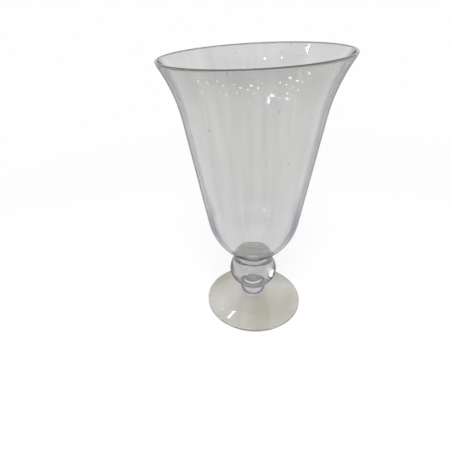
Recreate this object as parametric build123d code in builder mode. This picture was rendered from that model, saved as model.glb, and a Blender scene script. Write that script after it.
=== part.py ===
from build123d import *

import math
import os

# Footed trumpet vase of clear glass: a bell-shaped bowl on a ball stem and a hollow conical foot.
# It stands on z = 0 with its axis on Z. Sizes are in millimetres.

# Foot: a shallow cone, hollow below, that stands on a ring
foot_radius = 58.7
foot_height = 18.0
foot_edge_thickness = 3.8
foot_ring_width = 4.0
foot_centre_thickness = 6.5
foot_hollow_round = 10.0

# Lower collar: a rounded bead under a short grooved neck
lower_collar_radius = 14.2
lower_collar_height = 13.2
bead_height = 8.6
bead_bulge = 0.9
groove_depth = 0.5

# Ball knop: a solid ball, a little wider than it is tall
ball_radius = 28.1
ball_half_height = 22.9

# Upper collar: a short waisted spool between the ball and the bowl
upper_collar_radius = 18.5
upper_collar_height = 6.4
waist_depth = 0.8

# Bowl: a rounded base, a straight flank that leans out, and a flare up to a rounded lip
bowl_height = 225.4
bowl_wall = 3.0
floor_thickness = 4.5
floor_round = 25.0
belly_radius = 51.4
belly_height = 48.9
flank_lean = 9.26
flank_length = 121.5
rim_radius = 91.2

# Heights of the seams, stacked from the foot up
ball_low_seat = foot_height + lower_collar_height
ball_low_angle = math.acos(lower_collar_radius / ball_radius)
ball_high_angle = math.acos(upper_collar_radius / ball_radius)
ball_centre = ball_low_seat + ball_half_height * math.sin(ball_low_angle)
ball_high_seat = ball_centre + ball_half_height * math.sin(ball_high_angle)
bowl_seat = ball_high_seat + upper_collar_height
rim_height = bowl_seat + bowl_height

# Directions up along the bowl's straight flank and square out of it
lean = math.radians(flank_lean)
flank_up = Vector(math.sin(lean), math.cos(lean))
flank_out = Vector(math.cos(lean), -math.sin(lean))

# The flank runs from the belly to the shoulder, and the flare goes on from there to the lip
belly = Vector(belly_radius, bowl_seat + belly_height)
shoulder = belly + flank_up * flank_length
shoulder_inside = shoulder - flank_out * bowl_wall
lip_round = bowl_wall / 2
lip_centre = Vector(rim_radius - lip_round, rim_height - lip_round)

# Half way through the wall the flare is one arc from the shoulder to the lip's centre
flare_chord = lip_centre - (shoulder + shoulder_inside) * 0.5
flare_turn = 2 * math.atan2(flare_chord.dot(flank_out), flare_chord.dot(flank_up))
lip_up = Vector(math.sin(lean + flare_turn), math.cos(lean + flare_turn))
lip_out = Vector(math.cos(lean + flare_turn), -math.sin(lean + flare_turn))
lip_outside = lip_centre + lip_out * lip_round
lip_inside = lip_centre - lip_out * lip_round

# The base is one arc outside; inside, an arc about the same centre keeps the wall even down to the floor
base_chord = Vector(upper_collar_radius, bowl_seat) - belly
base_arc_radius = base_chord.dot(base_chord) / (2 * base_chord.dot(-flank_out))
base_centre = belly - flank_out * base_arc_radius
belly_inside = belly - flank_out * bowl_wall
floor_height = bowl_seat + floor_thickness
floor_drop = base_centre.Y - floor_height
floor_corner = (base_centre.X + math.sqrt((base_arc_radius - bowl_wall) ** 2 - floor_drop**2), floor_height)

os.makedirs("parts", exist_ok=True)


# Foot
with BuildPart() as foot:
    with BuildSketch(Plane.XZ):
        hollow_top = foot_height - foot_centre_thickness
        hollow_corner = (lower_collar_radius, hollow_top)
        with BuildLine():
            Polyline(
                (0, hollow_top),
                hollow_corner,
                (foot_radius - foot_ring_width, 0),
                (foot_radius, 0),
                (foot_radius, foot_edge_thickness),
                (lower_collar_radius, foot_height),
                (0, foot_height),
                close=True,
            )
        make_face()
        fillet(vertices().group_by(Axis.X)[-1], foot_edge_thickness / 2)
        fillet(vertices().sort_by_distance(hollow_corner)[0], foot_hollow_round)
    revolve(axis=Axis.Z)
foot.part.label = "foot"
export_step(foot.part, "parts/foot.step")


# Lower collar
with BuildPart() as lower_collar:
    with BuildSketch(Plane.XZ):
        bead_top = foot_height + bead_height
        bead_middle = foot_height + bead_height / 2
        groove_middle = (bead_top + ball_low_seat) / 2
        with BuildLine():
            Polyline(
                (lower_collar_radius, foot_height),
                (0, foot_height),
                (0, ball_low_seat),
                (lower_collar_radius, ball_low_seat),
            )
            ThreePointArc(
                (lower_collar_radius, ball_low_seat),
                (lower_collar_radius - groove_depth, groove_middle),
                (lower_collar_radius, bead_top),
            )
            ThreePointArc(
                (lower_collar_radius, bead_top),
                (lower_collar_radius + bead_bulge, bead_middle),
                (lower_collar_radius, foot_height),
            )
        make_face()
    revolve(axis=Axis.Z)
lower_collar.part.label = "lower_collar"
export_step(lower_collar.part, "parts/lower_collar.step")


# Ball knop, cut flat where the two collars meet it
with BuildPart() as ball_knop:
    with BuildSketch(Plane.XZ):
        with Locations((0, ball_centre)):
            Ellipse(ball_radius, ball_half_height)
        with Locations((0, ball_low_seat)):
            Rectangle(
                ball_radius,
                ball_high_seat - ball_low_seat,
                align=(Align.MIN, Align.MIN),
                mode=Mode.INTERSECT,
            )
    revolve(axis=Axis.Z)
ball_knop.part.label = "ball_knop"
export_step(ball_knop.part, "parts/ball_knop.step")


# Upper collar
with BuildPart() as upper_collar:
    with BuildSketch(Plane.XZ):
        waist_middle = (ball_high_seat + bowl_seat) / 2
        with BuildLine():
            Polyline(
                (upper_collar_radius, ball_high_seat),
                (0, ball_high_seat),
                (0, bowl_seat),
                (upper_collar_radius, bowl_seat),
            )
            ThreePointArc(
                (upper_collar_radius, bowl_seat),
                (upper_collar_radius - waist_depth, waist_middle),
                (upper_collar_radius, ball_high_seat),
            )
        make_face()
    revolve(axis=Axis.Z)
upper_collar.part.label = "upper_collar"
export_step(upper_collar.part, "parts/upper_collar.step")


# Bowl
with BuildPart() as bowl:
    with BuildSketch(Plane.XZ):
        with BuildLine():
            Polyline((0, floor_height), (0, bowl_seat), (upper_collar_radius, bowl_seat))
            TangentArc(belly, (upper_collar_radius, bowl_seat), tangent=-flank_up)
            Line(belly, shoulder)
            TangentArc(shoulder, lip_outside, tangent=flank_up)
            TangentArc(lip_outside, lip_inside, tangent=lip_up)
            TangentArc(shoulder_inside, lip_inside, tangent=flank_up)
            Line(shoulder_inside, belly_inside)
            TangentArc(belly_inside, floor_corner, tangent=-flank_up)
            Line(floor_corner, (0, floor_height))
        make_face()
        fillet(vertices().sort_by_distance(floor_corner)[0], floor_round)
    revolve(axis=Axis.Z)
bowl.part.label = "bowl"
export_step(bowl.part, "parts/bowl.step")
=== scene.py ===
# Footed trumpet vase of clear glass: five pieces, each spun from its half section, in a pale studio.
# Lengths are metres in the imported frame, +Z up, with the vase standing on z = 0.

import math

import bmesh
import bpy
from bpy.props import FloatProperty, FloatVectorProperty, IntProperty, PointerProperty
from mathutils import Matrix, Vector


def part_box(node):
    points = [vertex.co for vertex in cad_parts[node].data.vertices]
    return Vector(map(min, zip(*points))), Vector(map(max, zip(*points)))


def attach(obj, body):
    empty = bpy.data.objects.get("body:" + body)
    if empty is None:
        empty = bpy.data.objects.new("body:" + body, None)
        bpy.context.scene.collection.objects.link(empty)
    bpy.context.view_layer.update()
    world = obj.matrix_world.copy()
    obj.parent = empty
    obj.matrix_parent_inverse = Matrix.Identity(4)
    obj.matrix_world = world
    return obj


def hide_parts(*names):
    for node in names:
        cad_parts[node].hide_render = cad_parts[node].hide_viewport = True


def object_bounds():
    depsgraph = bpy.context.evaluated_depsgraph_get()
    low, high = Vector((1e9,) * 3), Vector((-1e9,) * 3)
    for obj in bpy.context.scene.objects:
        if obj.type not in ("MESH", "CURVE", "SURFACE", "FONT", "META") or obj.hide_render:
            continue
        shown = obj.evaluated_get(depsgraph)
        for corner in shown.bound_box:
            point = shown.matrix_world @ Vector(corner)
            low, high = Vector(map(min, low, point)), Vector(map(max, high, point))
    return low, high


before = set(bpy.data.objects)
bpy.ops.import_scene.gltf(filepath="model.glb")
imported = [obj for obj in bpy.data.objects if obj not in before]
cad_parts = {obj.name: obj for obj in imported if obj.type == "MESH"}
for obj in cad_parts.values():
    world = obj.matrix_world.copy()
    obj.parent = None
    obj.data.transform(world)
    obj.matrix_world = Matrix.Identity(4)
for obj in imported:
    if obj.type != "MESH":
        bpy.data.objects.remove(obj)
cad_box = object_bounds()

bl_info = {
    "name": "Footed Trumpet Vase",
    "version": (1, 0, 0),
    "blender": (4, 5, 0),
    "location": "3D View > Sidebar > Vase",
    "description": "Builds a clear glass footed vase from its half sections, with a pale studio round it",
    "category": "Add Mesh",
}

# Picture: its side, the lens's length and where the lens's axis meets it, in pixels
PICTURE_SIDE = 450
LENS_LENGTH = 362.4
LENS_CENTRE = (206.4, 206.7)

# Camera: its sensor in millimetres, its place, its turns in degrees and the nearest thing that it shows
SENSOR_WIDTH = 36.0
CAMERA_PLACE = (0, -0.3614, 0.3422)
CAMERA_YAW = 8.417
CAMERA_PITCH = 29.293
CAMERA_ROLL = -4.067
CAMERA_NEAREST = 0.01

# Meshes: closer points are merged, sharper edges stay hard, and a seat is flat and at its height
MERGE_DISTANCE = 1e-6
HARD_ANGLE = math.radians(30)
SEAT_FLATNESS = 0.999
SEAT_TOLERANCE = 1e-5

# Material slots that follow a piece's own glass
SEAM_SLOT = 1
RING_SLOT = 2
LIP_SLOT = 3

# Lip: its rounding faces within this turn of the wall's way up, and the painted shade of its crest starts
# and is full at these turns from straight up
LIP_TURN = math.radians(89)
CREST_START = math.radians(80)
CREST_FULL = math.radians(55)

# Soda-lime glass: how far it bends light
GLASS_IOR = 1.5

# The bowl's painted edge shade: the facing where it starts at the seat, at the belly and on the flank,
# where it is full, the height above the belly that it takes to change, and the share of painted shade in
# the outline
EDGE_AT_SEAT = 0.8
EDGE_AT_BELLY = 0.4
EDGE_ON_FLANK = 0.6
EDGE_FULL = 0.95
EDGE_BLEND = 0.03
OUTLINE_PAINTED_SHADE = 0.55

# Light may bounce this often inside the glass
LIGHT_BOUNCES = 48

# Floor: a wide disc just under the foot, whose shadow fades out between two distances
FLOOR_RADIUS = 8.0
FLOOR_SIDES = 96
FLOOR_DROP = 0.0001
SHADOW_FULL = 0.2
SHADOW_GONE = 0.8

# Dome: each tone blends in over the one before, along one axis of the way out, from a start to an end
DOME_TONES = (
    ("behind", "Y", 0.1, -0.3),
    ("ceiling", "Z", 0.6, 0.78),
    ("horizon", "Z", 0.35, 0.2),
)

# Lamps hang this far from the vase's middle, in white, daylight or the blue of the sky
LAMP_DISTANCE = 2.0
WHITE = "#FFFFFF"
DAYLIGHT = "#DDE8FF"
SKY = "#C8DCFF"

# Each lamp: name, azimuth and elevation in degrees, width and height, brightness, tint, and the one piece
# that catches it, or None for all. The key lamp lights the floor, and the glass mirrors the softboxes.
KEY_LAMP = ("key", 180, 62, (0.8, 0.8), 8.8, WHITE, None)
SOFTBOXES = (
    ("wide_panel", -146, 12, (0.3, 0.085), 14.0, DAYLIGHT, None),
    ("square_panel", -151, 10, (0.15, 0.1), 14.0, DAYLIGHT, None),
    ("small_panel", -132, 9.5, (0.14, 0.06), 9.0, DAYLIGHT, None),
    ("side_panel", -116, 8.5, (0.2, 0.07), 9.0, DAYLIGHT, None),
    ("rim_spot_left", -161, 46, (0.07, 0.06), 30.0, WHITE, None),
    ("rim_spot_right", -132, 44, (0.07, 0.06), 30.0, WHITE, None),
    ("rim_strip", -91, 43, (0.05, 0.16), 20.0, WHITE, None),
    ("left_strip", -100, 14, (0.08, 1.0), 2.5, WHITE, None),
    ("right_strip", 82, 14, (0.08, 1.0), 1.8, WHITE, None),
    ("foot_strip", -50.3, 62.1, (0.2, 0.1), 12.0, WHITE, "hollow_foot"),
    ("ball_glint", -121, 43, (0.28, 0.36), 6.0, SKY, "ball_stem"),
    ("foot_spark", -46.8, 62.6, (0.08, 0.04), 12.0, WHITE, "hollow_foot"),
    ("foot_glint", -43.0, 63.4, (0.06, 0.05), 9.0, WHITE, "hollow_foot"),
    ("foot_gleam", -47.6, 50.0, (0.05, 0.05), 6.0, WHITE, "hollow_foot"),
)

# Small lamps that spark in the bowl, in a band behind the camera: the golden section spreads them round
# it, and they climb evenly through it
SPARKS = 46
SPARK_SIZE = (0.08, 0.045)
SPARK_BRIGHTNESS = 10.0
SPARK_AZIMUTHS = (75, 285)
SPARK_ELEVATIONS = (8, 25)
GOLDEN_SECTION = 0.618


def linear(hex_colour):
    """Turns an sRGB hex colour into linear red, green and blue."""
    shares = [int(hex_colour[i : i + 2], 16) / 255 for i in (1, 3, 5)]
    return tuple(s / 12.92 if s <= 0.04045 else ((s + 0.055) / 1.055) ** 2.4 for s in shares)


def millimetres(name, description, size):
    """A length that the user can change."""
    return FloatProperty(
        name=name, description=description, default=size / 1000, min=0, unit="LENGTH", precision=4
    )


def degrees(name, description, angle):
    """An angle that the user can change."""
    return FloatProperty(
        name=name, description=description, default=math.radians(angle), subtype="ANGLE"
    )


def colour(name, description, hex_colour):
    """A colour that the user can change."""
    return FloatVectorProperty(
        name=name, description=description, default=linear(hex_colour), subtype="COLOR", min=0, max=1
    )


def share(name, description, default):
    """A share from none to all that the user can change."""
    return FloatProperty(
        name=name, description=description, default=default, min=0, max=1, subtype="FACTOR"
    )


class VaseSizes(bpy.types.PropertyGroup):
    """The sizes that the frame's boxes don't give"""

    bowl_wall: millimetres("Bowl wall", "Thickness of the bowl's wall and lip", 3.0)
    floor_thickness: millimetres("Bowl floor", "Glass between the bowl's floor and its seat", 4.5)
    floor_round: millimetres("Floor round", "Rounding between the bowl's floor and its wall", 25.0)
    belly_radius: millimetres("Belly radius", "Where the rounded base meets the flank", 51.4)
    belly_height: millimetres("Belly height", "How far the belly is above the seat", 48.9)
    flank_lean: degrees("Flank lean", "How far the straight flank leans out", 9.26)
    flank_length: millimetres("Flank length", "Straight run from the belly to the flare", 121.5)
    bowl_ring: share("Bowl ring", "Share of the bowl's seat inside its violet ring", 0.93)
    lower_seat_radius: millimetres("Lower seat", "Radius of the seats on the lower collar", 14.2)
    bead_height: millimetres("Bead height", "Height of the lower collar's bead", 8.6)
    groove_depth: millimetres("Groove depth", "Depth of the groove above the bead", 0.5)
    waist_depth: millimetres("Waist depth", "How far the upper collar draws in", 0.8)
    foot_edge: millimetres("Foot edge", "Thickness of the foot at its edge", 3.8)
    standing_ring: millimetres("Standing ring", "Width of the ring that the foot stands on", 4.0)
    foot_centre: millimetres("Foot centre", "Glass between the foot's hollow and its seat", 6.5)
    hollow_round: millimetres("Hollow round", "Rounding at the top of the foot's hollow", 10.0)
    foot_ring: share("Foot ring", "Share of the foot's seat inside its violet ring", 0.6)
    round_steps: IntProperty(
        name="Steps round", description="Faces round each piece", default=192, min=24, max=512
    )
    arc_step: degrees("Arc step", "Turn between two points of a rounded outline", 3.0)


class VaseGlass(bpy.types.PropertyGroup):
    """The colours of the glass, and the sizes of the marks in it"""

    base_tint: colour("Base tint", "What the wall lets through at the bowl's seat", "#F2F2F2")
    bowl_tint: colour("Bowl tint", "What the wall lets through from the belly to the shoulder", "#E4E4E3")
    rim_tint: colour("Rim tint", "What the wall lets through at the rim", "#D6D6D5")
    speck_tint: colour("Speck tint", "Colour of the specks of grit in the wall", "#5A5048")
    # Painted shade and highlight: the lip's crest is a rosy brown line, greyer in patches, and its sides
    # are paler
    lip_shade_tint: colour("Lip tint", "Colour of the lip's crest", "#9C8284")
    lip_shade_cast: colour("Lip cast", "Greyer colour of the lip's crest in patches", "#8E8A86")
    lip_painted_highlight: colour("Lip side", "Colour of the lip's rounding below its crest", "#D8D6D4")
    collar_tint: colour("Collar tint", "What the upper collar lets through", "#B4B4B8")
    bead_tint: colour("Bead tint", "What the lower collar lets through", "#EAEAF0")
    # Painted shade: the rim of a fused seat is darkened to violet
    seam_shade_tint: colour("Seam tint", "What the rim of a fused seam lets through", "#9494B4")
    ball_tint: colour("Ball tint", "What the ball lets through", "#C8C8C8")
    foot_tint: colour("Foot tint", "What the foot lets through", "#D2D1CB")
    # Painted light: the foot is paler under the stem, lifting the shade that the stem casts on the floor
    # seen through it
    foot_painted_light: colour("Foot middle", "What the foot lets through under the stem", "#ECEBE8")
    foot_cast: colour("Foot cast", "Warmer colour of the foot in patches", "#BCB8AA")
    # Painted shade: the foot's rim seen edge on is darkened to a brown line
    foot_painted_edge_tint: colour("Foot edge", "What the foot's rim seen edge on lets through", "#6A6452")
    # Painted shade: glass seen edge on is darkened to violet, standing in for dark surroundings seen in its
    # edges as well as its longer path through the glass
    painted_edge_tint: colour("Edge tint", "What glass seen edge on lets through", "#5C669A")
    half_depth: millimetres("Half depth", "Depth of glass that takes half of the light", 600.0)
    stria_width: millimetres("Stria width", "Width of the wall's upright striae at the belly", 10.28)
    stria_length: millimetres("Stria length", "Length of the wall's upright striae", 133.33)
    stria_relief: millimetres("Stria relief", "How far the striae stand out at full strength", 0.8)
    stria_low: share("Low striae", "Strength of the striae's relief up to the belly", 0.02)
    stria_high: share("High striae", "Strength of the striae's relief from the shoulder up", 0.3)
    speck_spacing: millimetres("Speck spacing", "Size of the cells that can hold a speck", 10.0)
    speck_radius: millimetres("Speck radius", "Radius of a speck", 0.7)
    speck_share: share("Speck share", "Share of the cells that hold a speck", 0.3)
    bowl_film: millimetres("Bowl film", "Width of the patches of film on the bowl", 35.0)
    lip_patch: millimetres("Lip patch", "Width of the patches on the lip's crest", 25.0)
    cord_width: millimetres("Cord width", "Width of the cords in the stem", 25.0)
    cord_relief: millimetres("Cord relief", "How far the cords stand out", 0.4)
    stem_film: millimetres("Stem film", "Width of the patches of film on the stem", 15.0)
    mottle_width: millimetres("Mottle width", "Width of the foot's mottling", 60.0)
    mottle_relief: millimetres("Mottle relief", "How far the mottling stands out", 0.6)
    rub_width: millimetres("Rub width", "Width of the rubbed patches on the foot", 8.0)
    # Painted light reaches this far under the seat
    painted_light_share: share("Middle share", "Share of the seat under which the foot is palest", 0.7)


class VaseStudio(bpy.types.PropertyGroup):
    """The colours of the floor and the dome, and the floor's shadow"""

    floor_colour: colour("Floor", "Colour of the floor", "#FEFEFE")
    backdrop: colour("Backdrop", "Colour of the dome behind the vase", "#E6E6E8")
    behind: colour("Behind", "Colour of the dome behind the camera", "#36384E")
    ceiling: colour("Ceiling", "Colour of the dome overhead", "#F4F4F4")
    horizon: colour("Horizon", "Colour of the dome at the floor's end", "#FEFEFE")
    shadow_share: share("Shadow", "Share of the floor's light that the vase can shade", 0.9)


def add(tree, kind, inputs=None, **settings):
    """Adds a node with its settings, and fills its inputs with values, or links from nodes and sockets."""
    node = tree.nodes.new(kind)
    for name, value in settings.items():
        setattr(node, name, value)
    sockets = [socket for socket in node.inputs if socket.enabled]
    names = [socket.name for socket in sockets]
    for name, value in (inputs or {}).items():
        target = sockets[name if isinstance(name, int) else names.index(name)]
        if isinstance(value, bpy.types.Node):
            value = next(socket for socket in value.outputs if socket.enabled)
        if isinstance(value, bpy.types.NodeSocket):
            tree.links.new(value, target)
        else:
            target.default_value = value
    return node


def new_material(name):
    """An empty node material and its tree."""
    material = bpy.data.materials.new(name)
    material.use_nodes = True
    material.node_tree.nodes.clear()
    return material, material.node_tree


def opaque(rgb):
    """A colour with full alpha, for a node's socket."""
    return (*rgb, 1.0)


def patchy(tree, where, width, detail, spread, reach=(0, 1), distortion=0.0):
    """Noise with patches of a width, and its spread of values mapped to a reach."""
    noise = add(
        tree,
        "ShaderNodeTexNoise",
        {"Vector": where, "Scale": 1 / width, "Detail": detail, "Distortion": distortion},
    )
    ends = {"From Min": spread[0], "From Max": spread[1], "To Min": reach[0], "To Max": reach[1]}
    return noise, add(tree, "ShaderNodeMapRange", {"Value": noise, **ends})


def axis_distance(tree, where):
    """How far the glass is from the vase's axis."""
    flat = add(tree, "ShaderNodeVectorMath", {0: where, 1: (1, 1, 0)}, operation="MULTIPLY")
    return add(tree, "ShaderNodeVectorMath", {0: flat}, operation="LENGTH")


def edge_shade(tree, tint, painted_edge_tint, start, full):
    """The tint, taken down by painted shade as the glass turns edge on from one facing to another, and how
    far it is.
    """
    facing = add(tree, "ShaderNodeLayerWeight").outputs["Facing"]
    edge = add(
        tree,
        "ShaderNodeMapRange",
        {"Value": facing, "From Min": start, "From Max": full},
        interpolation_type="SMOOTHSTEP",
    )
    edged = add(
        tree,
        "ShaderNodeMix",
        {"Factor": edge, "A": tint, "B": opaque(painted_edge_tint)},
        data_type="RGBA",
        blend_type="MULTIPLY",
    )
    return edged, edge


def clear_body(tree, glass, tint, roughness, normal, lamp_share, outline=0.0):
    """Shades clear glass: it bends light, loses some in its depth, has a painted shade outline and lets
    lamps through.
    """
    body = add(
        tree,
        "ShaderNodeBsdfPrincipled",
        {"Base Color": tint, "Roughness": roughness, "IOR": GLASS_IOR, "Normal": normal},
    )
    body.inputs["Transmission Weight"].default_value = 1.0

    # A ray that leaves the glass from inside has lost light along its way, and black stands for the loss
    path = add(tree, "ShaderNodeLightPath").outputs
    inside = add(tree, "ShaderNodeNewGeometry").outputs["Backfacing"]
    depths = add(tree, "ShaderNodeMath", {0: path["Ray Length"], 1: glass.half_depth}, operation="DIVIDE")
    kept = add(tree, "ShaderNodeMath", {0: 0.5, 1: depths}, operation="POWER")
    lost = add(tree, "ShaderNodeMath", {0: 1.0, 1: kept}, operation="SUBTRACT")
    lost_inside = add(tree, "ShaderNodeMath", {0: lost, 1: inside}, operation="MULTIPLY")
    # Black also stands in for the painted shade of the outline
    lost_and_painted_shade = add(tree, "ShaderNodeMath", {0: lost_inside, 1: outline}, operation="MAXIMUM")
    black = add(tree, "ShaderNodeBsdfTransparent", {"Color": (0, 0, 0, 1)})
    deep = add(tree, "ShaderNodeMixShader", {0: lost_and_painted_shade, 1: body, 2: black})

    # Light for the floor goes straight through, because bent light would reach it as noise
    straight = add(tree, "ShaderNodeBsdfTransparent", {"Color": (lamp_share, lamp_share, lamp_share, 1)})
    bounced = add(tree, "ShaderNodeMixShader", {0: path["Is Diffuse Ray"], 1: deep, 2: straight})
    lit = add(tree, "ShaderNodeMixShader", {0: path["Is Shadow Ray"], 1: bounced, 2: straight})
    add(tree, "ShaderNodeOutputMaterial", {"Surface": lit})


# Blown and fire polished, so the wall is bright and smooth. The eye sees faint upright striae that waver
# its reflections, a few dark specks, and a violet outline of painted shade where it looks along the wall.
def blown_glass(glass, seat, belly, shoulder, rim_height):
    """Soda-lime glass for the bowl, between the points of its outline."""
    material, tree = new_material("blown_glass")
    where = add(tree, "ShaderNodeTexCoord").outputs["Object"]
    height = add(tree, "ShaderNodeSeparateXYZ", {0: where}).outputs["Z"]

    # Striae run up the wall, so their noise follows the way round the belly and hardly the height
    flat = add(tree, "ShaderNodeVectorMath", {0: where, 1: (1, 1, 0)}, operation="MULTIPLY")
    outward = add(tree, "ShaderNodeVectorMath", {0: flat}, operation="NORMALIZE")
    around = add(tree, "ShaderNodeVectorMath", {0: outward, "Scale": belly.x}, operation="SCALE")
    climb = (0, 0, glass.stria_width / glass.stria_length)
    upward = add(tree, "ShaderNodeVectorMath", {0: where, 1: climb}, operation="MULTIPLY")
    along = add(tree, "ShaderNodeVectorMath", {0: around, 1: upward}, operation="ADD")
    striae, shade = patchy(
        tree, along, glass.stria_width, detail=3, spread=(0.35, 0.65), reach=(0.94, 1.0)
    )

    # The tint deepens from the seat to the belly, and again from the shoulder to the rim
    tint = opaque(glass.base_tint)
    stretches = ((seat.y, belly.y, glass.bowl_tint), (shoulder.y, rim_height, glass.rim_tint))
    for bottom, top, tint_above in stretches:
        climbed = add(tree, "ShaderNodeMapRange", {"Value": height, "From Min": bottom, "From Max": top})
        tint = add(
            tree, "ShaderNodeMix", {"Factor": climbed, "A": tint, "B": opaque(tint_above)}, data_type="RGBA"
        )
    tint = add(tree, "ShaderNodeVectorMath", {0: tint, "Scale": shade}, operation="SCALE")

    # Specks of grit lie in the middle of some cells
    cells = add(tree, "ShaderNodeTexVoronoi", {"Vector": where, "Scale": 1 / glass.speck_spacing}).outputs
    speck_reach = glass.speck_radius / glass.speck_spacing
    near = add(tree, "ShaderNodeMath", {0: cells["Distance"], 1: speck_reach}, operation="LESS_THAN")
    pick = add(tree, "ShaderNodeSeparateColor", {0: cells["Color"]})
    rare = add(tree, "ShaderNodeMath", {0: pick, 1: glass.speck_share}, operation="LESS_THAN")
    speck = add(tree, "ShaderNodeMath", {0: near, 1: rare}, operation="MULTIPLY")
    tint = add(
        tree, "ShaderNodeMix", {"Factor": speck, "A": tint, "B": opaque(glass.speck_tint)}, data_type="RGBA"
    )

    # The base curves away from the eye, so its painted edge shade starts later towards the seat
    base = {"From Min": seat.y, "From Max": belly.y, "To Min": EDGE_AT_SEAT, "To Max": EDGE_AT_BELLY}
    base_start = add(tree, "ShaderNodeMapRange", {"Value": height, **base})
    flank_low = {"From Min": belly.y, "To Min": EDGE_AT_BELLY}
    flank_high = {"From Max": belly.y + EDGE_BLEND, "To Max": EDGE_ON_FLANK}
    flank_start = add(tree, "ShaderNodeMapRange", {"Value": height, **flank_low, **flank_high})
    start = add(tree, "ShaderNodeMath", {0: base_start, 1: flank_start}, operation="MAXIMUM")
    edged, edge = edge_shade(tree, tint, glass.painted_edge_tint, start, EDGE_FULL)

    # Wiping leaves a thin film, and the striae stand out more towards the shoulder
    _, haze = patchy(tree, where, glass.bowl_film, detail=4, spread=(0.55, 0.85), reach=(0, 0.015))
    low_relief = {"From Min": belly.y, "To Min": glass.stria_low}
    high_relief = {"From Max": shoulder.y, "To Max": glass.stria_high}
    strength = add(tree, "ShaderNodeMapRange", {"Value": height, **low_relief, **high_relief})
    bump = add(
        tree, "ShaderNodeBump", {"Height": striae, "Distance": glass.stria_relief, "Strength": strength}
    )

    # Painted shade darkens the wall where it is seen along its length, which draws the outline
    outline = add(tree, "ShaderNodeMath", {0: edge, 1: OUTLINE_PAINTED_SHADE}, operation="MULTIPLY")
    clear_body(tree, glass, edged, haze, bump, lamp_share=0.9, outline=outline)
    return material


# Melted smooth in a flame, so the lip has a soft shine. A thin rosy brown line of painted shade runs round
# its crest, greyer in patches, with a painted highlight on the paler sides below it.
def lip_painted_shade(glass):
    """Fire-polished glass for the lip's rounding, with painted shade on its crest and a painted highlight
    on its sides.
    """
    material, tree = new_material("lip_painted_shade")
    where = add(tree, "ShaderNodeTexCoord").outputs["Object"]
    _, greyer = patchy(tree, where, glass.lip_patch, detail=3, spread=(0.4, 0.65))
    crest_shade_tint = add(
        tree,
        "ShaderNodeMix",
        {"Factor": greyer, "A": opaque(glass.lip_shade_tint), "B": opaque(glass.lip_shade_cast)},
        data_type="RGBA",
    )

    # The painted shade lies on the crest, which is what looks up, and the rounding's sides are paler with a
    # painted highlight
    normal = add(tree, "ShaderNodeNewGeometry").outputs["Normal"]
    upward = add(tree, "ShaderNodeSeparateXYZ", {0: normal}).outputs["Z"]
    crest = add(
        tree,
        "ShaderNodeMapRange",
        {"Value": upward, "From Min": math.cos(CREST_START), "From Max": math.cos(CREST_FULL)},
    )
    tint = add(
        tree,
        "ShaderNodeMix",
        {"Factor": crest, "A": opaque(glass.lip_painted_highlight), "B": crest_shade_tint},
        data_type="RGBA",
    )
    body = add(
        tree, "ShaderNodeBsdfPrincipled", {"Base Color": tint, "Roughness": 0.12, "IOR": GLASS_IOR}
    )
    body.inputs["Transmission Weight"].default_value = 0.5
    add(tree, "ShaderNodeOutputMaterial", {"Surface": body})
    return material


# Gathered, then tooled or marvered hot, so it is solid and clear. The eye sees cords of slightly denser
# glass wind through it, and a dark violet outline of painted shade.
def stem_glass(name, glass, tint, low, high, start_middle, start_seats, full, outline_shade=0.0):
    """Solid glass for a stem piece, whose painted edge shade may start later at its seats than half way up.
    """
    material, tree = new_material(name)
    where = add(tree, "ShaderNodeTexCoord").outputs["Object"]
    cords, shade = patchy(
        tree, where, glass.cord_width, detail=2, spread=(0.3, 0.7), reach=(0.92, 1.0), distortion=1.5
    )
    shaded = add(tree, "ShaderNodeVectorMath", {0: tuple(tint), "Scale": shade}, operation="SCALE")

    height = add(tree, "ShaderNodeSeparateXYZ", {0: where}).outputs["Z"]
    above = add(tree, "ShaderNodeMath", {0: height, 1: (low + high) / 2}, operation="SUBTRACT")
    off_middle = add(tree, "ShaderNodeMath", {0: above}, operation="ABSOLUTE")
    start = add(
        tree,
        "ShaderNodeMapRange",
        {"Value": off_middle, "From Max": (high - low) / 2, "To Min": start_middle, "To Max": start_seats},
    )
    edged, edge = edge_shade(tree, shaded, glass.painted_edge_tint, start, full)
    # Painted shade darkens the outline by this share
    outline = add(tree, "ShaderNodeMath", {0: edge, 1: outline_shade}, operation="MULTIPLY")

    _, haze = patchy(tree, where, glass.stem_film, detail=4, spread=(0.5, 0.8), reach=(0, 0.05))
    bump = add(tree, "ShaderNodeBump", {"Height": cords, "Distance": glass.cord_relief, "Strength": 0.3})
    clear_body(tree, glass, edged, haze, bump, lamp_share=0.97, outline=outline)
    return material


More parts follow.
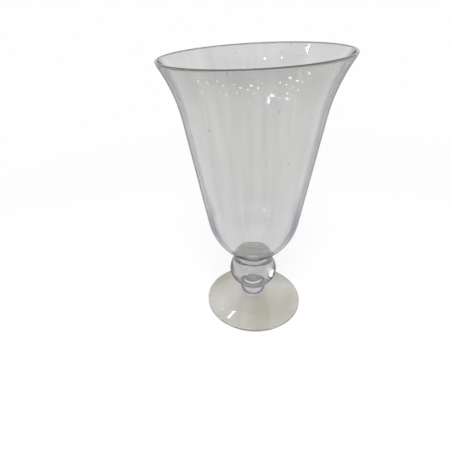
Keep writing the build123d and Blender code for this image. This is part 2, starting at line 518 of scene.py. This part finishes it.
# Pressed in a mould and rubbed from standing on shelves. The eye sees warm mottling where it chilled, a
# patchy shine, and a brown line of painted shade round the rim.
def pressed_glass(glass, seat_radius):
    """Moulded glass for the foot, which is paler under its seat with painted light."""
    material, tree = new_material("pressed_glass")
    where = add(tree, "ShaderNodeTexCoord").outputs["Object"]
    mottle, warmer = patchy(tree, where, glass.mottle_width, detail=3, spread=(0.35, 0.65))
    mottled = add(
        tree,
        "ShaderNodeMix",
        {"Factor": warmer, "A": opaque(glass.foot_tint), "B": opaque(glass.foot_cast)},
        data_type="RGBA",
    )
    # Painted light: the tint pales towards the axis under the seat
    palest = glass.painted_light_share * seat_radius
    beyond = add(
        tree,
        "ShaderNodeMapRange",
        {"Value": axis_distance(tree, where), "From Min": palest, "From Max": seat_radius},
    )
    tint = add(
        tree,
        "ShaderNodeMix",
        {"Factor": beyond, "A": opaque(glass.foot_painted_light), "B": mottled},
        data_type="RGBA",
    )
    # Painted shade darkens the foot's rim seen edge on into a brown line
    edged, _ = edge_shade(tree, tint, glass.foot_painted_edge_tint, start=0.42, full=0.7)
    _, haze = patchy(tree, where, glass.rub_width, detail=6, spread=(0.5, 0.8), reach=(0, 0.1))
    bump = add(
        tree, "ShaderNodeBump", {"Height": mottle, "Distance": glass.mottle_relief, "Strength": 0.3}
    )
    clear_body(tree, glass, edged, haze, bump, lamp_share=0.96)
    return material


# Fused hot, so no surface is left inside. The eye sees nothing there.
def fused_seam():
    """The seats of all the pieces, which light passes without a trace."""
    material = bpy.data.materials.get("fused_seam")
    if not material:
        material, tree = new_material("fused_seam")
        clear = add(tree, "ShaderNodeBsdfTransparent")
        add(tree, "ShaderNodeOutputMaterial", {"Surface": clear})
    return material


# Fused hot. The eye sees a violet ring of painted shade that fades towards the axis.
def painted_seam_ring(name, glass, inside, outside):
    """Painted shade on the rim of a fused seat, between two radii."""
    material, tree = new_material(name)
    where = add(tree, "ShaderNodeTexCoord").outputs["Object"]
    violet = add(
        tree,
        "ShaderNodeMapRange",
        {"Value": axis_distance(tree, where), "From Min": inside, "From Max": outside},
        interpolation_type="SMOOTHSTEP",
    )
    tint = add(
        tree,
        "ShaderNodeMix",
        {"Factor": violet, "A": (1, 1, 1, 1), "B": opaque(glass.seam_shade_tint)},
        data_type="RGBA",
    )
    clear = add(tree, "ShaderNodeBsdfTransparent", {"Color": tint})
    add(tree, "ShaderNodeOutputMaterial", {"Surface": clear})
    return material


def right_of(way):
    """The way turned a quarter turn clockwise, in the plane of a section."""
    return Vector((way.y, -way.x))


def leaning(lean):
    """The ways up along a line that leans out from the axis, and square out of it."""
    up = Vector((math.sin(lean), math.cos(lean)))
    return up, right_of(up)


class Section:
    """Half of a piece's cross-section, drawn as (radius, height) from point to point and then spun"""

    def __init__(self, sizes, radius, height):
        self.sizes = sizes
        self.mesh = bmesh.new()
        self.tip = bmesh.ops.create_vert(self.mesh, co=(radius, 0, height))["vert"][0]

    @property
    def end(self):
        """The last point drawn."""
        return Vector((self.tip.co.x, self.tip.co.z))

    def line_to(self, point):
        """Draws a straight run."""
        self.tip = bmesh.ops.extrude_vert_indiv(self.mesh, verts=[self.tip])["verts"][0]
        self.tip.co = (point[0], 0, point[1])

    def swing_to(self, point, turn):
        """Draws an arc that turns clockwise by an angle on its way."""
        chord = point - self.end
        centre = self.end + chord / 2 + right_of(chord) / 2 / math.tan(turn / 2)
        made = bmesh.ops.spin(
            self.mesh,
            geom=[self.tip],
            cent=(centre.x, 0, centre.y),
            axis=(0, 1, 0),
            angle=turn,
            steps=max(2, round(abs(turn) / self.sizes.arc_step)),
        )
        self.tip = made["geom_last"][0]

    def arc_to(self, point, tangent):
        """Draws an arc that leaves along a tangent."""
        chord = point - self.end
        self.swing_to(point, 2 * math.atan2(chord.dot(right_of(tangent)), chord.dot(tangent)))

    def bulge_to(self, point, bulge):
        """Draws an arc that stands out to the right of its chord, or in if the bulge is negative."""
        chord = point - self.end
        self.swing_to(point, -4 * math.atan(2 * bulge / chord.length))

    def corner_to(self, corner, ahead, radius):
        """Runs to a corner and rounds it towards the point ahead."""
        arrive = (corner - self.end).normalized()
        leave = (ahead - corner).normalized()
        turn = math.atan2(leave.dot(right_of(arrive)), leave.dot(arrive))
        setback = radius * math.tan(abs(turn) / 2)
        self.line_to(corner - arrive * setback)
        self.swing_to(corner + leave * setback, turn)

    def spin(self, name, node, slot, materials, stretch=1.0):
        """Stretches the section upwards and spins it into a closed piece."""
        mesh = self.mesh
        bmesh.ops.scale(mesh, vec=(1, 1, stretch), verts=mesh.verts[:])
        bmesh.ops.spin(
            mesh,
            geom=mesh.verts[:] + mesh.edges[:],
            cent=(0, 0, 0),
            axis=(0, 0, 1),
            angle=math.tau,
            steps=self.sizes.round_steps,
            use_merge=True,
        )
        bmesh.ops.remove_doubles(mesh, verts=mesh.verts[:], dist=MERGE_DISTANCE)
        bmesh.ops.recalc_face_normals(mesh, faces=mesh.faces[:])
        for face in mesh.faces:
            face.smooth = True
        for edge in mesh.edges:
            edge.smooth = edge.calc_face_angle(math.pi) < HARD_ANGLE
        data = bpy.data.meshes.new(name)
        mesh.to_mesh(data)
        mesh.free()
        piece = bpy.data.objects.new(name, data)
        bpy.context.scene.collection.objects.link(piece)
        for material in materials:
            data.materials.append(material)
        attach(piece, "root")
        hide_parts(node)
        return piece


def seat_faces(piece, heights, ring_inside=math.inf):
    """Gives a piece's flat seats the seam's material, or the ring's where they lie outside a radius."""
    for face in piece.data.polygons:
        flat = abs(face.normal.z) > SEAT_FLATNESS
        seated = any(abs(face.center.z - height) < SEAT_TOLERANCE for height in heights)
        if flat and seated:
            ringed = face.center.xy.length > ring_inside
            face.material_index = RING_SLOT if ringed else SEAM_SLOT


def lip_faces(piece, lowest, lip_up):
    """Gives the lip's rounding its own material: what is high enough and faces up along the wall."""
    for face in piece.data.polygons:
        outward = face.center.xy.normalized()
        facing = Vector((face.normal.xy.dot(outward), face.normal.z))
        if face.center.z > lowest and facing.dot(lip_up) > math.cos(LIP_TURN):
            face.material_index = LIP_SLOT


class VASE_OT_blow_bowl(bpy.types.Operator):
    """Blows the bell-shaped bowl, with its rounded base, straight flank, flare and lip"""

    bl_idname = "vase.blow_bowl"
    bl_label = "Blow bowl"

    def execute(self, context):
        sizes = context.scene.vase_sizes
        glass = context.scene.vase_glass
        low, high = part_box("bowl")
        seat = Vector((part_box("upper_collar")[1].x, low.z))

        # The flank runs straight from the belly to the shoulder, and the flare swings on to the lip
        up, out = leaning(sizes.flank_lean)
        belly = Vector((sizes.belly_radius, low.z + sizes.belly_height))
        shoulder = belly + up * sizes.flank_length
        shoulder_inside = shoulder - out * sizes.bowl_wall
        lip_round = sizes.bowl_wall / 2
        lip_centre = Vector((high.x - lip_round, high.z - lip_round))
        flare_chord = lip_centre - (shoulder + shoulder_inside) / 2
        flare_turn = 2 * math.atan2(flare_chord.dot(out), flare_chord.dot(up))
        lip_up, lip_out = leaning(sizes.flank_lean + flare_turn)

        # The base is one arc from the belly to the seat, and a rounding inside it meets the floor
        base_radius = (seat - belly).length_squared / (2 * (belly - seat).dot(out))
        base_centre = belly - out * base_radius
        inner_radius = base_radius - sizes.bowl_wall
        floor_height = low.z + sizes.floor_thickness
        round_height = floor_height + sizes.floor_round
        round_reach = inner_radius - sizes.floor_round
        round_drop = base_centre.y - round_height
        round_centre = Vector((base_centre.x + math.sqrt(round_reach**2 - round_drop**2), round_height))
        round_way = (round_centre - base_centre) / round_reach
        ring_inside = sizes.bowl_ring * seat.x

        section = Section(sizes, 0, floor_height)
        section.line_to((round_centre.x, floor_height))
        section.arc_to(base_centre + round_way * inner_radius, tangent=Vector((1, 0)))
        section.arc_to(belly - out * sizes.bowl_wall, tangent=-right_of(round_way))
        section.line_to(shoulder_inside)
        section.arc_to(lip_centre - lip_out * lip_round, tangent=up)
        section.arc_to(lip_centre + lip_out * lip_round, tangent=lip_up)
        section.arc_to(shoulder, tangent=-lip_up)
        section.line_to(belly)
        section.arc_to(seat, tangent=-up)
        section.line_to((ring_inside, low.z))
        section.line_to((0, low.z))
        materials = [
            blown_glass(glass, seat, belly, shoulder, high.z),
            fused_seam(),
            painted_seam_ring("painted_shade_bowl_seam", glass, ring_inside, seat.x),
            lip_painted_shade(glass),
        ]
        piece = section.spin("blown_bowl", "bowl", "bowl_glass", materials)
        seat_faces(piece, [low.z], ring_inside)
        lip_faces(piece, lip_centre.y - lip_round, lip_up)
        return {"FINISHED"}


class VASE_OT_tool_collars(bpy.types.Operator):
    """Tools the waisted collar under the bowl and the beaded collar on the foot"""

    bl_idname = "vase.tool_collars"
    bl_label = "Tool collars"

    def execute(self, context):
        sizes = context.scene.vase_sizes
        glass = context.scene.vase_glass

        low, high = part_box("upper_collar")
        gathered = stem_glass(
            "gathered_glass",
            glass,
            glass.collar_tint,
            low.z,
            high.z,
            start_middle=0.75,
            start_seats=0.75,
            full=1.0,
        )
        section = Section(sizes, 0, low.z)
        section.line_to((high.x, low.z))
        section.bulge_to(Vector((high.x, high.z)), -sizes.waist_depth)
        section.line_to((0, high.z))
        piece = section.spin("waisted_collar", "upper_collar", "stem_glass", [gathered, fused_seam()])
        seat_faces(piece, [low.z, high.z])

        low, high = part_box("lower_collar")
        # The painted edge shade starts early on the bead, so it darkens the bead's lower half
        tooled = stem_glass(
            "tooled_glass",
            glass,
            glass.bead_tint,
            low.z,
            high.z,
            start_middle=0.15,
            start_seats=0.15,
            full=0.5,
        )
        radius = sizes.lower_seat_radius
        section = Section(sizes, 0, low.z)
        section.line_to((radius, low.z))
        section.bulge_to(Vector((radius, low.z + sizes.bead_height)), high.x - radius)
        section.bulge_to(Vector((radius, high.z)), -sizes.groove_depth)
        section.line_to((0, high.z))
        piece = section.spin("beaded_collar", "lower_collar", "stem_glass", [tooled, fused_seam()])
        seat_faces(piece, [low.z, high.z])
        return {"FINISHED"}


class VASE_OT_shape_ball(bpy.types.Operator):
    """Shapes the solid ball, a little wider than tall, between the collars"""

    bl_idname = "vase.shape_ball"
    bl_label = "Shape ball"

    def execute(self, context):
        sizes = context.scene.vase_sizes
        glass = context.scene.vase_glass
        low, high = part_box("ball_knop")
        low_seat = sizes.lower_seat_radius
        high_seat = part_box("upper_collar")[1].x

        # The outline is drawn as a circle's arc between the seats, and squashed as it is spun
        low_turn = math.acos(low_seat / high.x)
        high_turn = math.acos(high_seat / high.x)
        half_height = (high.z - low.z) / (math.sin(low_turn) + math.sin(high_turn))
        squash = half_height / high.x
        section = Section(sizes, 0, low.z / squash)
        section.line_to((low_seat, low.z / squash))
        section.swing_to(Vector((high_seat, high.z / squash)), -(low_turn + high_turn))
        section.line_to((0, high.z / squash))
        # The painted edge shade darkens the ball's sides half way up into dark crescents
        marvered = stem_glass(
            "marvered_glass",
            glass,
            glass.ball_tint,
            low.z,
            high.z,
            start_middle=0.4,
            start_seats=0.9,
            full=0.95,
            outline_shade=0.72,
        )
        materials = [marvered, fused_seam()]
        piece = section.spin("ball_stem", "ball_knop", "stem_glass", materials, stretch=squash)
        seat_faces(piece, [low.z, high.z])
        return {"FINISHED"}


class VASE_OT_press_foot(bpy.types.Operator):
    """Presses the hollow conical foot with its rounded edge and standing ring"""

    bl_idname = "vase.press_foot"
    bl_label = "Press foot"

    def execute(self, context):
        sizes = context.scene.vase_sizes
        glass = context.scene.vase_glass
        low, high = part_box("foot")
        hollow_top = high.z - sizes.foot_centre
        seat = Vector((sizes.lower_seat_radius, high.z))
        hollow_corner = Vector((seat.x, hollow_top))
        hollow_edge = Vector((high.x - sizes.standing_ring, low.z))
        edge_low = Vector((high.x, low.z))
        edge_high = Vector((high.x, low.z + sizes.foot_edge))
        edge_round = sizes.foot_edge / 2
        ring_inside = sizes.foot_ring * seat.x

        section = Section(sizes, 0, hollow_top)
        section.corner_to(hollow_corner, hollow_edge, sizes.hollow_round)
        section.line_to(hollow_edge)
        section.corner_to(edge_low, edge_high, edge_round)
        section.corner_to(edge_high, seat, edge_round)
        section.line_to(seat)
        section.line_to((ring_inside, high.z))
        section.line_to((0, high.z))
        materials = [
            pressed_glass(glass, seat.x),
            fused_seam(),
            painted_seam_ring("painted_shade_foot_seam", glass, ring_inside, seat.x),
        ]
        piece = section.spin("hollow_foot", "foot", "foot_glass", materials)
        seat_faces(piece, [high.z], ring_inside)
        return {"FINISHED"}


# Uncoated paper in one wide sweep. The eye sees plain white that holds a soft shadow near the foot.
def matt_paper(studio):
    """White paper, which glows for the eye, straight or by way of glass and gloss, and lights nothing."""
    material, tree = new_material("matt_paper")
    where = add(tree, "ShaderNodeTexCoord").outputs["Object"]
    away = add(tree, "ShaderNodeVectorMath", {0: where}, operation="LENGTH")
    fade = {"From Min": SHADOW_FULL, "From Max": SHADOW_GONE, "To Min": studio.shadow_share, "To Max": 0.0}
    shaded = add(
        tree, "ShaderNodeMapRange", {"Value": away, **fade}, interpolation_type="SMOOTHSTEP"
    )
    path = add(tree, "ShaderNodeLightPath").outputs
    mirrored = add(
        tree,
        "ShaderNodeMath",
        {0: path["Is Glossy Ray"], 1: path["Is Transmission Ray"]},
        operation="MAXIMUM",
    )
    seen = add(tree, "ShaderNodeMath", {0: path["Is Camera Ray"], 1: mirrored}, operation="MAXIMUM")
    paper = add(tree, "ShaderNodeBsdfDiffuse", {"Color": opaque(studio.floor_colour)})
    glow = add(tree, "ShaderNodeEmission", {"Color": opaque(studio.floor_colour), "Strength": seen})
    sweep = add(tree, "ShaderNodeMixShader", {0: shaded, 1: glow, 2: paper})
    add(tree, "ShaderNodeOutputMaterial", {"Surface": sweep})
    return material


def lay_floor(scene, studio):
    """Lays the paper floor under the foot."""
    mesh = bmesh.new()
    bmesh.ops.create_circle(mesh, cap_ends=True, segments=FLOOR_SIDES, radius=FLOOR_RADIUS)
    data = bpy.data.meshes.new("studio_floor")
    mesh.to_mesh(data)
    mesh.free()
    data.materials.append(matt_paper(studio))
    floor = bpy.data.objects.new("studio_floor", data)
    floor.location.z = -FLOOR_DROP
    scene.collection.objects.link(floor)


def raise_dome(scene, studio):
    """Wraps the studio in a dome: pale behind the vase and overhead, and dark behind the camera."""
    world = bpy.data.worlds.new("studio_dome")
    scene.world = world
    world.use_nodes = True
    tree = world.node_tree
    tree.nodes.clear()
    way = add(tree, "ShaderNodeTexCoord").outputs["Generated"]
    axes = add(tree, "ShaderNodeSeparateXYZ", {0: way}).outputs
    tone = opaque(studio.backdrop)
    for name, axis, start, end in DOME_TONES:
        reached = add(
            tree,
            "ShaderNodeMapRange",
            {"Value": axes[axis], "From Min": start, "From Max": end},
            interpolation_type="SMOOTHSTEP",
        )
        tone = add(
            tree,
            "ShaderNodeMix",
            {"Factor": reached, "A": tone, "B": opaque(getattr(studio, name))},
            data_type="RGBA",
        )
    sky = add(tree, "ShaderNodeBackground", {"Color": tone})
    add(tree, "ShaderNodeOutputWorld", {"Surface": sky})


def lamp(name, azimuth, elevation, size, brightness, tint, only, rays=("glossy", "transmission")):
    """An area lamp that faces the vase, as bright to look at as it says. Azimuth runs from +Y to +X."""
    light = bpy.data.lights.new(name, "AREA")
    light.shape = "RECTANGLE"
    light.size, light.size_y = size
    light.color = linear(tint)
    light.energy = brightness * size[0] * size[1] * math.pi
    box = bpy.data.objects.new(name, light)
    bpy.context.scene.collection.objects.link(box)
    around = math.radians(azimuth)
    above = math.radians(elevation)
    flat = math.cos(above)
    way = Vector((math.sin(around) * flat, math.cos(around) * flat, math.sin(above)))
    low, high = cad_box
    box.location = (low + high) / 2 + way * LAMP_DISTANCE
    box.rotation_euler = way.to_track_quat("Z", "Y").to_euler()
    for ray in ("camera", "diffuse", "glossy", "transmission"):
        setattr(box, f"visible_{ray}", ray in rays)
    if only:
        lit = bpy.data.collections.get(f"lit_{only}") or bpy.data.collections.new(f"lit_{only}")
        if only not in lit.objects:
            lit.objects.link(bpy.data.objects[only])
        box.light_linking.receiver_collection = lit


def hang_lamps():
    """Hangs the key lamp, the softboxes and the sparks."""
    lamp(*KEY_LAMP, rays=("diffuse",))
    for softbox in SOFTBOXES:
        lamp(*softbox)
    first_azimuth, last_azimuth = SPARK_AZIMUTHS
    lowest, highest = SPARK_ELEVATIONS
    for i in range(SPARKS):
        azimuth = first_azimuth + (last_azimuth - first_azimuth) * (i * GOLDEN_SECTION % 1)
        elevation = lowest + (highest - lowest) * (i + 0.5) / SPARKS
        lamp(f"spark_{i:02}", azimuth, elevation, SPARK_SIZE, SPARK_BRIGHTNESS, WHITE, "blown_bowl")


def aim_camera(scene):
    """Sets the camera at the picture's viewing angle, with the picture's lens."""
    camera = bpy.data.objects.new("camera", bpy.data.cameras.new("camera"))
    scene.collection.objects.link(camera)
    camera.data.sensor_width = SENSOR_WIDTH
    camera.data.lens = LENS_LENGTH / PICTURE_SIDE * SENSOR_WIDTH
    camera.data.shift_x = 0.5 - LENS_CENTRE[0] / PICTURE_SIDE
    camera.data.shift_y = LENS_CENTRE[1] / PICTURE_SIDE - 0.5
    camera.data.clip_start = CAMERA_NEAREST
    turned = Matrix.Rotation(math.radians(CAMERA_YAW), 4, "Z")
    tilted = Matrix.Rotation(math.radians(90 - CAMERA_PITCH), 4, "X")
    rolled = Matrix.Rotation(math.radians(CAMERA_ROLL), 4, "Z")
    camera.matrix_world = Matrix.Translation(CAMERA_PLACE) @ turned @ tilted @ rolled
    scene.camera = camera


class VASE_OT_set_stage(bpy.types.Operator):
    """Lays the pale floor and sets the dome, the lamps and the camera"""

    bl_idname = "vase.set_stage"
    bl_label = "Set stage"

    def execute(self, context):
        scene = context.scene
        scene.view_settings.view_transform = "Standard"
        for limit in ("max_bounces", "glossy_bounces", "transmission_bounces", "transparent_max_bounces"):
            setattr(scene.cycles, limit, LIGHT_BOUNCES)
        lay_floor(scene, scene.vase_studio)
        raise_dome(scene, scene.vase_studio)
        hang_lamps()
        aim_camera(scene)
        return {"FINISHED"}


class VASE_PT_maker(bpy.types.Panel):
    """Lists the vase's pieces, sizes and colours"""

    bl_idname = "VASE_PT_maker"
    bl_label = "Footed vase"
    bl_space_type = "VIEW_3D"
    bl_region_type = "UI"
    bl_category = "Vase"

    def draw(self, context):
        for operator in OPERATORS:
            self.layout.operator(operator.bl_idname)
        for group in (context.scene.vase_sizes, context.scene.vase_glass, context.scene.vase_studio):
            for name in group.__annotations__:
                self.layout.prop(group, name)


GROUPS = (VaseSizes, VaseGlass, VaseStudio)
OPERATORS = (
    VASE_OT_blow_bowl,
    VASE_OT_tool_collars,
    VASE_OT_shape_ball,
    VASE_OT_press_foot,
    VASE_OT_set_stage,
)


def register():
    for cls in (*GROUPS, *OPERATORS, VASE_PT_maker):
        bpy.utils.register_class(cls)
    bpy.types.Scene.vase_sizes = PointerProperty(type=VaseSizes)
    bpy.types.Scene.vase_glass = PointerProperty(type=VaseGlass)
    bpy.types.Scene.vase_studio = PointerProperty(type=VaseStudio)


def unregister():
    del bpy.types.Scene.vase_studio
    del bpy.types.Scene.vase_glass
    del bpy.types.Scene.vase_sizes
    for cls in reversed((*GROUPS, *OPERATORS, VASE_PT_maker)):
        bpy.utils.unregister_class(cls)


def main():
    """Builds the vase and its stage."""
    register()
    bpy.ops.vase.blow_bowl()
    bpy.ops.vase.tool_collars()
    bpy.ops.vase.shape_ball()
    bpy.ops.vase.press_foot()
    bpy.ops.vase.set_stage()


if __name__ == "__main__":
    main()
